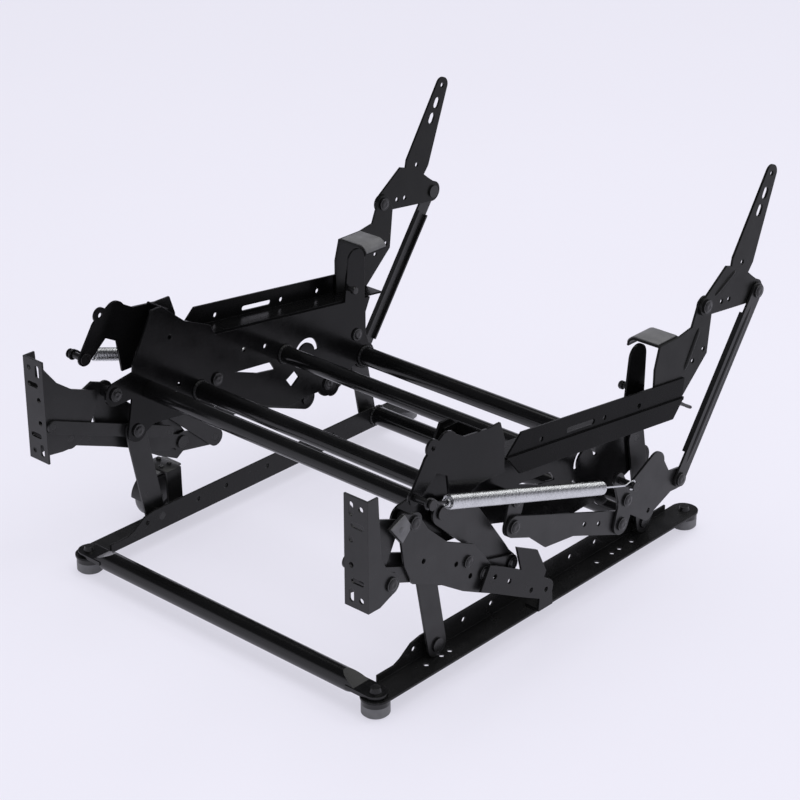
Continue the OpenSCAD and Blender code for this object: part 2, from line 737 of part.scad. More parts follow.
// One step of the wire: [distance along the axis, radius from the axis, angle]
function wire_step(i) = let (n = spring_curls * coil_rings, turn = i / coil_rings,
    open = min(1, turn / opening_turns, (spring_curls - turn) / opening_turns))
    [front_hook + coil_len * i / n, coil_r * open, 360 * turn];
function wire_steps() = concat([[0, 0, 0], [wire_d, 0, 0]],
    [for (i = [0:spring_curls * coil_rings]) wire_step(i)],
    [[spring_run - wire_d, 0, 0], [spring_run, 0, 0]]);
function radial(a) = [cos(a), -sin(a) * spring_axis[1], sin(a) * spring_axis[0]];
spring_start = let (p = spring_front + spring_axis * (small_r + post_air)) [spring_x, p[0], p[1]];
axis3 = [0, spring_axis[0], spring_axis[1]];
function wire_point(w) = spring_start + axis3 * w[0] + radial(w[2]) * w[1];
function wire_path() = [for (w = wire_steps()) wire_point(w)];
function ring_at(path, steps, i) = let (last = len(path) - 1,
    t = unit(path[min(i + 1, last)] - path[max(i - 1, 0)]),
    r0 = radial(steps[i][2]), u = unit(r0 - t * (r0 * t)), v = cross(t, u))
    [for (k = [0:wire_sides - 1]) let (a = 360 * k / wire_sides)
        path[i] + (u * cos(a) + v * sin(a)) * wire_d / 2];
function coil_gap(path) = let (n = len(path), near = [coil_rings - 2:coil_rings + 2])
    min([for (i = [0:n - 1], k = near) if (i + k < n) norm(path[i] - path[i + k])]) - wire_d;
module return_spring(s) {
    path = wire_path();
    steps = wire_steps();
    n = len(path);
    rings = [for (i = [0:n - 1]) ring_at(path, steps, i)];
    points = concat([for (r = rings, p = r) p], [path[0], path[n - 1]]);
    tube_faces = [for (i = [0:n - 2], k = [0:wire_sides - 1]) let (a = i * wire_sides + k,
        b = i * wire_sides + (k + 1) % wire_sides, c = a + wire_sides, d = b + wire_sides)
        each [[a, b, d], [a, d, c]]];
    cap_faces = [for (k = [0:wire_sides - 1]) let (m = (k + 1) % wire_sides, e = (n - 1) * wire_sides)
        each [[n * wire_sides, m, k], [n * wire_sides + 1, e + k, e + m]]];
    echo(least_gap_between_curls = coil_gap(path));
    at_side(s) color(zinc) polyhedron(points, concat(tube_faces, cap_faces));
}

base_rail(-1);  // base_rail_left
base_rail(1);  // base_rail_right
foot_pads();
base_front_tube();
base_rear_tube();
foot_bolts();
lift_base_pins();
lift_link(-1, front_base, front_top);  // front_lift_left
lift_link(1, front_base, front_top);  // front_lift_right
lift_link(-1, rear_base, rear_top);  // rear_lift_left
lift_link(1, rear_base, rear_top);  // rear_lift_right
seat_plate(-1);  // seat_plate_left
seat_plate(1);  // seat_plate_right
seat_rail(-1);  // seat_rail_left
seat_rail(1);  // seat_rail_right
front_plate(-1);  // front_plate_left
front_plate(1);  // front_plate_right
hinge_plate(-1);  // hinge_plate_left
hinge_plate(1);  // hinge_plate_right
cross_tube(front_tube_p, cross_tube_d);  // front_cross_tube
cross_tube(middle_tube_p, cross_tube_d);  // middle_cross_tube
cross_tube(rear_tube_p, rear_tube_d);  // rear_cross_tube
lift_top_pins();
link_pivot_pins();
back_hinge_pins();
spring_posts();
torque_tube();
drive_link(-1);  // drive_link_left
drive_link(1);  // drive_link_right
drive_link_pins();
swing_link(-1);  // swing_link_left
swing_link(1);  // swing_link_right
swing_pins(-1);  // swing_pins_left
swing_pins(1);  // swing_pins_right
footrest_arm(-1);  // footrest_arm_left
footrest_arm(1);  // footrest_arm_right
tilt_link(-1);  // tilt_link_left
tilt_link(1);  // tilt_link_right
footrest_bracket(-1);  // footrest_bracket_left
footrest_bracket(1);  // footrest_bracket_right
bracket_pins(-1);  // bracket_pins_left
bracket_pins(1);  // bracket_pins_right
back_arm(-1);  // back_arm_left
back_arm(1);  // back_arm_right
strut(-1);  // strut_left
strut(1);  // strut_right
strut_pins(-1);  // strut_pins_left
strut_pins(1);  // strut_pins_right
rear_crank(-1);  // rear_crank_left
rear_crank(1);  // rear_crank_right
crank_pins(-1);  // crank_pins_left
crank_pins(1);  // crank_pins_right
push_link(-1);  // push_link_left
push_link(1);  // push_link_right
rocker(-1);  // rocker_left
rocker(1);  // rocker_right
rocker_pins(-1);  // rocker_pins_left
rocker_pins(1);  // rocker_pins_right
return_spring(-1);  // return_spring_left
return_spring(1);  // return_spring_right
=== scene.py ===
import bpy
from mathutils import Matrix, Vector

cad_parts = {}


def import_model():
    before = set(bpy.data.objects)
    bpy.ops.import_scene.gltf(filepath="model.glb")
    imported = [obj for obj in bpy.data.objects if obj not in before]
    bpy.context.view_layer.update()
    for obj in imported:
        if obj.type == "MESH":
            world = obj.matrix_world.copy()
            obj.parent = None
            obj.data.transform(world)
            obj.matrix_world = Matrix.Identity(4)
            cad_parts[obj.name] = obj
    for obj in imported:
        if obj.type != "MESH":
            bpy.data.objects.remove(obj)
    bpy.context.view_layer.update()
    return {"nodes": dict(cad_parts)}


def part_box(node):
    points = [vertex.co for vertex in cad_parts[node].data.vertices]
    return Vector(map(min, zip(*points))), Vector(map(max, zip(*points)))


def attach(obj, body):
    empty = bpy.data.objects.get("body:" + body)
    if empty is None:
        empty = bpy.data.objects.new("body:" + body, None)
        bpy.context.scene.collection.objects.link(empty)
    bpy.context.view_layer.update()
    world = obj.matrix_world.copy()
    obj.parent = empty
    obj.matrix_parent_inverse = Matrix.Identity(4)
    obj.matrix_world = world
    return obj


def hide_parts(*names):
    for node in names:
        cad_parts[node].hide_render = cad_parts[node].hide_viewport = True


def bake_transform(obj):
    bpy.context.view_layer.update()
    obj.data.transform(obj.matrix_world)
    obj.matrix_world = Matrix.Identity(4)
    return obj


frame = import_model()

import math

import bmesh
import bpy
from mathutils import Matrix, Vector

MM = 0.001
# Distance of the model's origin behind the front feet
Y_MID = 320.726
scene = bpy.context.scene
nodes = frame["nodes"]
SIDES = (("left", -1), ("right", 1))


def at(x, y, z):
    """A point from millimetres: x from the middle, y behind the front feet, z above the floor."""
    return Vector((x, y - Y_MID, z)) * MM


# Materials

class Graph:
    """A material's node tree, with short calls to add and link nodes."""

    def __init__(self, name):
        self.mat = bpy.data.materials.new(name)
        self.mat.use_nodes = True
        self.tree = self.mat.node_tree
        self.tree.nodes.clear()
        self.out = self.add("ShaderNodeOutputMaterial")
        self.bsdf = self.add("ShaderNodeBsdfPrincipled")
        self.link(self.bsdf, "BSDF", self.out, "Surface")

    def add(self, kind, **values):
        node = self.tree.nodes.new(kind)
        for key, value in values.items():
            setattr(node, key, value)
        return node

    def link(self, a, out, b, into):
        self.tree.links.new(a.outputs[out], b.inputs[into])

    def noise(self, scale, detail=3.0, rough=0.5):
        coord = self.add("ShaderNodeTexCoord")
        node = self.add("ShaderNodeTexNoise")
        node.inputs["Scale"].default_value = scale
        node.inputs["Detail"].default_value = detail
        node.inputs["Roughness"].default_value = rough
        self.link(coord, "Object", node, "Vector")
        return node

    def ramp(self, source, out, stops):
        node = self.add("ShaderNodeValToRGB")
        ramp = node.color_ramp
        while len(ramp.elements) < len(stops):
            ramp.elements.new(0.5)
        for element, (place, colour) in zip(ramp.elements, stops):
            element.position = place
            element.color = (*colour, 1.0)
        self.link(source, out, node, "Fac")
        return node

    def tone(self, scale, dark, light):
        """A colour that clouds between a dark and a light shade."""
        return self.ramp(self.noise(scale, 5.0), "Fac", [(0.3, dark), (0.7, light)])

    def span(self, source, out, low, high, from_low=0.3, from_high=0.7):
        node = self.add("ShaderNodeMapRange")
        node.inputs["From Min"].default_value = from_low
        node.inputs["From Max"].default_value = from_high
        node.inputs["To Min"].default_value = low
        node.inputs["To Max"].default_value = high
        self.link(source, out, node, "Value")
        return node

    def mix(self, factor, factor_out, a, b):
        node = self.add("ShaderNodeMixRGB")
        self.link(factor, factor_out, node, "Fac")
        self.link(a, "Color", node, "Color1")
        self.link(b, "Color", node, "Color2")
        return node

    def edges(self, radius):
        """A mask that is white along sharp edges, and the rounded normal that goes with it."""
        bevel = self.add("ShaderNodeBevel", samples=6)
        bevel.inputs["Radius"].default_value = radius
        geometry = self.add("ShaderNodeNewGeometry")
        dot = self.add("ShaderNodeVectorMath", operation="DOT_PRODUCT")
        self.link(bevel, "Normal", dot, 0)
        self.link(geometry, "Normal", dot, 1)
        return self.span(dot, "Value", 1.0, 0.0, 0.80, 0.985), bevel

    def wear_and_sheen_edges(self, mask, scale, low, high):
        """The edge mask broken up by noise: partly scuffed wear, partly a painted edge highlight.
        """
        wear_and_sheen_mask = self.add("ShaderNodeMath", operation="MULTIPLY")
        self.link(mask, "Result", wear_and_sheen_mask, 0)
        wear_and_sheen_breakup = self.span(self.noise(scale, 4.0, 0.7), "Fac", low, high, 0.42, 0.62)
        self.link(wear_and_sheen_breakup, "Result", wear_and_sheen_mask, 1)
        return wear_and_sheen_mask

    def bump(self, source, strength, distance, normal=None):
        node = self.add("ShaderNodeBump")
        node.inputs["Strength"].default_value = strength
        node.inputs["Distance"].default_value = distance
        self.link(source, "Fac", node, "Height")
        if normal:
            self.link(normal, "Normal", node, "Normal")
        return node


def coated_steel(name, dark, light, wear_and_sheen_colour, rough_range, wear_and_sheen_amount, gloss):
    """Black coated steel: a fine orange-peel skin, faint clouding, and edges painted paler, partly
    as wear and partly as a painted highlight.
    """
    g = Graph(name)
    edge, rounded = g.edges(0.0007)
    # Paler colour along the edges: partly worn paint, partly a painted highlight
    wear_and_sheen_mask = g.wear_and_sheen_edges(edge, 160.0, 0.0, wear_and_sheen_amount)
    wear_and_sheen_tone = g.tone(120.0, tuple(0.7 * c for c in wear_and_sheen_colour), wear_and_sheen_colour)
    g.link(g.mix(wear_and_sheen_mask, "Value", g.tone(14.0, dark, light), wear_and_sheen_tone), "Color", g.bsdf, "Base Color")
    rough = g.span(g.noise(38.0, 6.0, 0.6), "Fac", *rough_range)
    g.link(rough, "Result", g.bsdf, "Roughness")
    waves = g.bump(g.noise(90.0, 2.0), 0.10, 0.0006, rounded)
    g.link(g.bump(g.noise(1100.0, 2.0), 0.12, 0.0001, waves), "Normal", g.bsdf, "Normal")
    g.bsdf.inputs["Specular IOR Level"].default_value = gloss
    return g.mat


def zinc_wire():
    """Zinc wire: drawn streaks and a little dulling."""
    g = Graph("zinc_wire")
    g.link(g.tone(70.0, (0.60, 0.61, 0.62), (0.70, 0.71, 0.72)), "Color", g.bsdf, "Base Color")
    g.link(g.span(g.noise(260.0), "Fac", 0.20, 0.34), "Result", g.bsdf, "Roughness")
    g.link(g.bump(g.noise(2400.0, 2.0), 0.12, 0.00006), "Normal", g.bsdf, "Normal")
    g.bsdf.inputs["Metallic"].default_value = 1.0
    return g.mat


def moulded(name, dark, light, wear_and_sheen_colour, rough_range):
    """Moulded plastic with a fine matt grain, its edges painted paler, partly as scuffs and partly
    as a painted highlight.
    """
    g = Graph(name)
    edge, rounded = g.edges(0.0010)
    # Paler colour along the edges: partly scuffs, partly a painted highlight
    wear_and_sheen_mask = g.wear_and_sheen_edges(edge, 220.0, 0.05, 0.6)
    wear_and_sheen_tone = g.tone(150.0, tuple(0.8 * c for c in wear_and_sheen_colour), wear_and_sheen_colour)
    g.link(g.mix(wear_and_sheen_mask, "Value", g.tone(60.0, dark, light), wear_and_sheen_tone), "Color", g.bsdf, "Base Color")
    g.link(g.span(g.noise(90.0, 4.0), "Fac", *rough_range), "Result", g.bsdf, "Roughness")
    g.link(g.bump(g.noise(1800.0, 2.0), 0.25, 0.0001, rounded), "Normal", g.bsdf, "Normal")
    return g.mat


def foot_rubber():
    """A black cap over a grey rubber pad, parted at a height above the floor."""
    g = Graph("foot_rubber")
    coord = g.add("ShaderNodeTexCoord")
    split = g.add("ShaderNodeSeparateXYZ")
    g.link(coord, "Object", split, "Vector")
    height = g.span(split, "Z", 0.0, 1.0, 13.2 * MM, 13.8 * MM)
    pad = g.tone(80.0, (0.145, 0.145, 0.154), (0.195, 0.195, 0.206))
    cap = g.tone(40.0, (0.006, 0.006, 0.0065), (0.012, 0.012, 0.0125))
    g.link(g.mix(height, "Result", pad, cap), "Color", g.bsdf, "Base Color")
    g.link(g.span(height, "Result", 0.62, 0.30, 0.0, 1.0), "Result", g.bsdf, "Roughness")
    rounded = g.edges(0.0012)[1]
    g.link(g.bump(g.noise(1500.0, 2.0), 0.2, 0.0001, rounded), "Normal", g.bsdf, "Normal")
    return g.mat


STEEL = coated_steel("black_steel", dark=(0.0065, 0.0065, 0.0070),
                     light=(0.0120, 0.0120, 0.0128), wear_and_sheen_colour=(0.050, 0.050, 0.053),
                     rough_range=(0.26, 0.42), wear_and_sheen_amount=0.5, gloss=0.40)
GLOSS = coated_steel("gloss_black_steel", dark=(0.0030, 0.0030, 0.0033),
                     light=(0.0060, 0.0060, 0.0065), wear_and_sheen_colour=(0.045, 0.045, 0.047),
                     rough_range=(0.14, 0.26), wear_and_sheen_amount=0.6, gloss=0.16)
# Base rails: a lighter copy of the black paint, painted light
BASE_RAIL_PAINTED_LIGHT = coated_steel("rail_black_steel", dark=(0.0085, 0.0085, 0.0090),
                    light=(0.0140, 0.0140, 0.0148), wear_and_sheen_colour=(0.055, 0.055, 0.058),
                    rough_range=(0.18, 0.30), wear_and_sheen_amount=0.6, gloss=0.20)
# Seat rails: a darker copy of the gloss black, painted shade
SEAT_RAIL_SHADE = coated_steel("deep_black_steel", dark=(0.0022, 0.0022, 0.0024),
                    light=(0.0044, 0.0044, 0.0047), wear_and_sheen_colour=(0.040, 0.040, 0.042),
                    rough_range=(0.20, 0.34), wear_and_sheen_amount=0.6, gloss=0.06)
# Back arms, hinge plates and their ribs: a darker, duller copy of the black paint, painted shade
ARM_PAINTED_SHADE = coated_steel("arm_painted_shade", dark=(0.0048, 0.0050, 0.0048),
                   light=(0.0088, 0.0091, 0.0088), wear_and_sheen_colour=(0.045, 0.046, 0.045),
                   rough_range=(0.26, 0.42), wear_and_sheen_amount=0.5, gloss=0.17)
TUBE = coated_steel("black_tube", dark=(0.0034, 0.0034, 0.0037),
                    light=(0.0060, 0.0060, 0.0065), wear_and_sheen_colour=(0.040, 0.040, 0.042),
                    rough_range=(0.13, 0.22), wear_and_sheen_amount=0.4, gloss=0.42)
PIN = coated_steel("black_pin", dark=(0.006, 0.006, 0.0065),
                   light=(0.013, 0.013, 0.014), wear_and_sheen_colour=(0.10, 0.10, 0.105),
                   rough_range=(0.18, 0.30), wear_and_sheen_amount=0.8, gloss=0.40)
WELD = coated_steel("weld_bead", dark=(0.004, 0.004, 0.0043),
                    light=(0.010, 0.010, 0.0105), wear_and_sheen_colour=(0.05, 0.05, 0.052),
                    rough_range=(0.24, 0.42), wear_and_sheen_amount=0.6, gloss=0.35)
ZINC = zinc_wire()
GREY = moulded("grey_nylon", dark=(0.100, 0.100, 0.106), light=(0.145, 0.145, 0.152),
               wear_and_sheen_colour=(0.20, 0.20, 0.21), rough_range=(0.38, 0.55))
BLACK = moulded("black_nylon", dark=(0.008, 0.008, 0.009), light=(0.015, 0.015, 0.016),
                wear_and_sheen_colour=(0.06, 0.06, 0.063), rough_range=(0.34, 0.50))
FOOT = foot_rubber()

for name, obj in nodes.items():
    if name == "foot_pads":
        look = FOOT
    elif "pins" in name or "bolts" in name or "posts" in name:
        look = PIN
    elif "tube" in name:
        look = TUBE
    elif "spring" in name:
        look = ZINC
    # Base rails take the lighter copy: painted light
    elif name.startswith("base_rail"):
        look = BASE_RAIL_PAINTED_LIGHT
    # Seat rails take the darker copy: painted shade
    elif name.startswith("seat_rail"):
        look = SEAT_RAIL_SHADE
    # Back arms and hinge plates take the darker copy: painted shade
    elif name.startswith(("back_arm", "hinge_plate")):
        look = ARM_PAINTED_SHADE
    elif name.startswith(("seat_", "front_plate")):
        look = GLOSS
    else:
        look = STEEL
    obj.data.materials.clear()
    obj.data.materials.append(look)


# Pieces

class Shape:
    """Forms gathered into one mesh."""

    def __init__(self):
        self.bm = bmesh.new()

    def row(self, points):
        return [self.bm.verts.new(p) for p in points]

    def ring(self, centre, side, up, radius, sides):
        """A round row; without a radius it is one point."""
        turns = [2 * math.pi * k / sides for k in range(sides)]
        points = [centre + (side * math.cos(a) + up * math.sin(a)) * radius for a in turns]
        return self.row(points if radius else [centre])

    def skin(self, rows):
        """Faces from row to row; a row of one point is a tip."""
        for a, b in zip(rows, rows[1:]):
            count = max(len(a), len(b))
            for k in range(count):
                m = (k + 1) % count
                corners = (a[k % len(a)], a[m % len(a)], b[m % len(b)], b[k % len(b)])
                self.bm.faces.new(list(dict.fromkeys(corners)))

    def capped(self, rows):
        """A skin with a flat face at each end."""
        self.skin(rows)
        self.bm.faces.new(rows[0])
        self.bm.faces.new(rows[-1])

    def turned(self, centre, axis, profile, sides=28):
        """A turned form, from distances along the axis and radii in millimetres."""
        axis = Vector(axis)
        side = axis.orthogonal().normalized()
        up = axis.cross(side)
        self.skin([self.ring(centre + axis * along * MM, side, up, radius * MM, sides)
                   for along, radius in profile])

    def slab(self, corners, rise, edge):
        """A flat form with rounded edges, from its corners and the way to its other face."""
        low, high = self.row(corners), self.row([p + rise for p in corners])
        faces = [self.bm.faces.new(low), self.bm.faces.new(high)]
        for k in range(len(low)):
            m = (k + 1) % len(low)
            faces.append(self.bm.faces.new((low[k], low[m], high[m], high[k])))
        rims = list({e for f in faces for e in f.edges})
        bmesh.ops.bevel(self.bm, geom=rims, offset=edge * MM, segments=2, profile=0.5,
                        affect="EDGES")

    def wire(self, path, radius, sides):
        """A round wire along a path, its frame carried from ring to ring; radius in millimetres."""
        rows = []
        side = None
        for i, p in enumerate(path):
            t = (path[min(i + 1, len(path) - 1)] - path[max(i - 1, 0)]).normalized()
            side = side or t.orthogonal()
            side = (side - t * side.dot(t)).normalized()
            rows.append(self.ring(p, side, t.cross(side), radius * MM, sides))
        self.capped(rows)

    def bead(self, centre, radius, thick):
        """A rippled weld bead round the end of a tube that runs along x."""
        steps, sides = 120, 8
        rows = []
        for i in range(steps):
            a = 2 * math.pi * i / steps
            out = Vector((0, math.cos(a), math.sin(a)))
            fat = thick * (1 + 0.16 * math.sin(20 * a) + 0.10 * math.sin(3 * a + 1))
            row = []
            for k in range(sides):
                b = 2 * math.pi * k / sides
                row.append(centre + out * (radius + fat * math.cos(b)) * MM
                           + Vector((fat * math.sin(b) * MM, 0, 0)))
            rows.append(self.row(row))
        self.skin(rows + rows[:1])

    def rib(self, a, b, out, half, high):
        """A pressed rib from a to b on a face that looks out; its round back sinks at both ends."""
        stations, arc, sunk = 32, 8, 0.4
        across = (b - a).cross(out).normalized()
        rows = []
        for k in range(stations + 1):
            f = k / stations
            full = 1 - (2 * f - 1) ** 8
            wide, rise = half * (0.5 + 0.5 * full), sunk + high * full
            row = []
            for j in range(arc + 1):
                c = math.pi * j / arc
                away = across * (wide * math.cos(c)) + out * (rise * math.sin(c) - sunk)
                row.append(a + (b - a) * f + away * MM)
            rows.append(self.row(row))
        self.capped(rows)

    def done(self, name, material):
        bmesh.ops.remove_doubles(self.bm, verts=self.bm.verts, dist=1e-7)
        bmesh.ops.recalc_face_normals(self.bm, faces=self.bm.faces)
        mesh = bpy.data.meshes.new(name)
        self.bm.to_mesh(mesh)
        self.bm.free()
        for polygon in mesh.polygons:
            polygon.use_smooth = True
        mesh.set_sharp_from_angle(angle=math.radians(40))
        obj = bpy.data.objects.new(name, mesh)
        scene.collection.objects.link(obj)
        obj.data.materials.append(material)
        return obj

    def ride(self, name, material, body):
        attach(self.done(name, material), body)


# Return springs: the same posts and coil as the solid, wound closer, with a hook round each post.
# Lengths along the spring are in millimetres from the edge of its front post.
SPRING_X = 284.25
FRONT_POST = (33.0, 263.0)
REAR_POST = (396.31, 144.02)
POST_R = 4.3
COIL_R = 7.4
WIRE_R = 1.1
FRONT_HOOK = 24.0
REAR_HOOK = 56.0
SHANK_END = 14.0
CURLS = 116
END_CURLS = 2.0
RINGS = 18
CLIP_R = 1.6
CLIP_SHANK = (18, 22, 26, 30)
# A hook's turn about its post in degrees, and where it meets the shank
HOOK_FROM, HOOK_SWEEP = 45, 255
HOOK_REACH = 17


def hook(post, along, over):
    """Points round a post, from the free end to the shank that runs off along the spring."""
    round_steps, off_steps = 24, 8
    loop = []
    for k in range(round_steps + 1):
        a = math.radians(HOOK_FROM + HOOK_SWEEP * k / round_steps)
        loop.append(post + (along * math.cos(a) + over * math.sin(a)) * (POST_R + WIRE_R) * MM)
    last = loop[-1] - post
    for k in range(1, off_steps + 1):
        f = k / off_steps
        ease = f * f * (3 - 2 * f)
        forth = last.dot(along) * (1 - f) + HOOK_REACH * MM * f
        loop.append(post + along * forth + over * (last.dot(over) * (1 - ease)))
    return loop


def spring(side, s):
    """A black clip on the front post, then one wire: coil, shank and a hook round the rear post."""
    front, rear = at(s * SPRING_X, *FRONT_POST), at(s * SPRING_X, *REAR_POST)
    axis = (rear - front).normalized()
    across = Vector((1, 0, 0))
    over = axis.cross(across).normalized()
    start = front + axis * POST_R * MM
    run = (rear - front).length / MM - 2 * POST_R

    clip = Shape()
    clip.wire(hook(front, axis, over) + [start + axis * k * MM for k in CLIP_SHANK], CLIP_R, 12)
    clip.ride("spring_clip_" + side, PIN, "seat")

    path = []
    count = CURLS * RINGS
    length = run - FRONT_HOOK - REAR_HOOK
    for i in range(count + 1):
        turn = i / RINGS
        ease = min(1.0, turn / END_CURLS, (CURLS - turn) / END_CURLS)
        grow = COIL_R * ease * ease * (3 - 2 * ease)
        angle = 2 * math.pi * turn
        centre = start + axis * (FRONT_HOOK + length * i / count) * MM
        path.append(centre + (across * math.cos(angle) + over * math.sin(angle)) * grow * MM)
    for k in range(1, 12):
        path.append(start + axis * (run - REAR_HOOK + (REAR_HOOK - SHANK_END) * k / 12) * MM)
    path += hook(rear, -axis, over)[::-1]
    shape = Shape()
    shape.wire(path, WIRE_R, 10)
    obj = shape.done("wound_spring_" + side, ZINC)
    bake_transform(obj)
    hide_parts("return_spring_" + side)


# Pivots in the side view, as the solids have them
LIFT_TOPS = ((80.02, 163.03), (470.02, 163.03))
SWING, ROCKER, CRANK, HINGE = (48.0, 222.0), (214.0, 186.0), (413.31, 111.02), (558.0, 316.0)
# Faces of the pin heads: x from the middle, then the pivot, and for other bodies the end's radius
PEEN_R = 6.4
SEAT_INNER = [(225.5, p) for p in LIFT_TOPS + (SWING, ROCKER, CRANK)] + [(256.0, HINGE)]
SEAT_OUTER = ((253.6, SWING), (260.1, ROCKER), (268.1, CRANK), (268.1, HINGE))
DRIVE_HEAD = (249.6, 219.0, 98.97)
HEADS = {
    "swing_": ((253.5, 165.0, 110.97, PEEN_R), (253.5, 137.44, 137.13, 5.6)),
    "footrest_": ((276.5, -14.0, 182.0, PEEN_R),),
    "back_": ((272.1, 662.33, 305.03, PEEN_R),),
    "crank_": ((272.1, 517.64, 100.05, PEEN_R), (268.0, 404.31, 82.02, PEEN_R)),
    "rocker_": ((264.1, 205.0, 157.0, PEEN_R),),
}


def peened(shape, place, way, radius):
    """A pin's peened end: a low dome with a struck middle."""
    profile = [(-0.4, 0), (-0.4, radius), (0.4, radius), (1.0, 0.78 * radius), (1.3, 0.48 * radius),
               (0.9, 0.25 * radius), (0.8, 0)]
    shape.turned(place, (way, 0, 0), profile)


def pin_ends():
    """Peened ends on the pin heads of each body."""
    seat, drive = Shape(), Shape()
    for side, s in SIDES:
        for x, p in SEAT_INNER:
            peened(seat, at(s * x, *p), -s, PEEN_R)
        for x, p in SEAT_OUTER:
            peened(seat, at(s * x, *p), s, PEEN_R)
        x, y, z = DRIVE_HEAD
        peened(drive, at(s * x, y, z), s, PEEN_R)
        for body, ends in HEADS.items():
            shape = Shape()
            for x, y, z, radius in ends:
                peened(shape, at(s * x, y, z), s, radius)
            shape.ride("peened_ends_" + body + side, PIN, body + side)
    seat.ride("peened_ends_seat", PIN, "seat")
    drive.ride("peened_ends_drive", PIN, "footrest_drive")


def welds():
    """Beads where the cross tubes meet the plates and rails."""
    inset, proud, thick = 1.2, 0.4, 1.9
    for body, tubes in (("seat", ("front_cross_tube", "middle_cross_tube", "rear_cross_tube")),
                        ("base", ("base_rear_tube",))):
        shape = Shape()
        for tube in tubes:
            low, high = (Vector(corner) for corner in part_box(tube))
            middle = (low + high) / 2
            radius = (high.z - low.z) / 2 / MM
            for s in (-1, 1):
                end = Vector((s * (high.x - inset * MM), middle.y, middle.z))
                shape.bead(end, radius + proud, thick)
        shape.ride("weld_beads_" + body, WELD, body)


def swing_pad(side, s):
    """Grey square pad on the front lobe of a swing link, held by a rivet."""
    face, thick = 250.9, 2.2
    outline = ((9, 229.5), (31, 238.5), (40.2, 224), (39, 218), (27, 206.5))
    rivet = [(-0.3, 0), (-0.3, 3.6), (0.5, 3.4), (1.1, 2.0), (1.2, 0)]
    shape = Shape()
    shape.slab([at(s * face, y, z) for y, z in outline], Vector((s * thick * MM, 0, 0)), 0.6)
    shape.turned(at(s * 253.0, 25, 223), (s, 0, 0), rivet)
    shape.ride("swing_pad_" + side, GREY, "swing_" + side)


def stop_pad(side, s):
    """Grey pad over the top of the hinge plate's tab, down round its curled end."""
    plate_x, front_y, length = 257, 473.5, 37
    curl_x, curl_z, outer_r, inner_r = 224.5, 278, 13.6, 11.9
    arc = [math.radians(90 + 75 * k / 10) for k in range(11)]
    outer = [(curl_x + outer_r * math.cos(a), curl_z + outer_r * math.sin(a)) for a in arc]
    inner = [(curl_x + inner_r * math.cos(a), curl_z + inner_r * math.sin(a)) for a in arc]
    outline = [(plate_x, curl_z + inner_r), (plate_x, curl_z + outer_r)] + outer + inner[::-1]
    shape = Shape()
    shape.slab([at(s * x, front_y, z) for x, z in outline], Vector((0, length * MM, 0)), 0.4)
    shape.ride("stop_pad_" + side, GREY, "seat")


def finger_stud(side, s):
    """A stud on the inner face of the seat plate's finger."""
    profile = [(0, 0), (0, 3.4), (6, 3.4), (6.6, 5.2), (10.5, 5.4), (12, 4.4), (12.4, 0)]
    shape = Shape()
    shape.turned(at(s * 228.2, 457, 233), (-s, 0, 0), profile)
    shape.ride("finger_stud_" + side, PIN, "seat")


def rail_bail(side, s):
    """A wire bail under the rear end of a seat rail."""
    middle, half, steps = 255, 6, 12
    legs = [(492, 209.9), (506, 208.2), (514, 205.0), (524, 197.5), (534, 191.0), (541, 187.0)]
    end_y, end_z = legs[-1]
    path = [at(s * (middle - half), y, z) for y, z in legs]
    for k in range(1, steps):
        a = math.pi * k / steps
        path.append(at(s * (middle - half * math.cos(a)), end_y + 5.4 * math.sin(a),
                       end_z - 2.6 * math.sin(a)))
    path += [at(s * (middle + half), y, z) for y, z in legs[::-1]]
    shape = Shape()
    shape.wire(path, 2.1, 12)
    shape.ride("rail_bail_" + side, PIN, "seat")


def pressed_ribs(side, s):
    """Ribs on a hinge plate, on the lower part of the back arm and down the strut behind it."""
    plate_x, arm_x, strut_x = s * 261.5, s * 265.5, s * 269.5
    out = Vector((s, 0, 0))
    hinge, arm, strut = Shape(), Shape(), Shape()
    hinge.rib(at(plate_x, 551, 289), at(plate_x, 524, 242), out, 3.8, 1.9)
    hinge.ride("hinge_rib_" + side, ARM_PAINTED_SHADE, "seat")
    arm.rib(at(arm_x, 574, 324.5), at(arm_x, 616, 345.5), out, 2.6, 1.7)
    arm.ride("back_rib_" + side, ARM_PAINTED_SHADE, "back_" + side)
    strut.rib(at(strut_x, 650.8, 288.7), at(strut_x, 529.2, 116.4), out, 3.4, 1.6)
    strut.ride("strut_rib_" + side, STEEL, "strut_" + side)


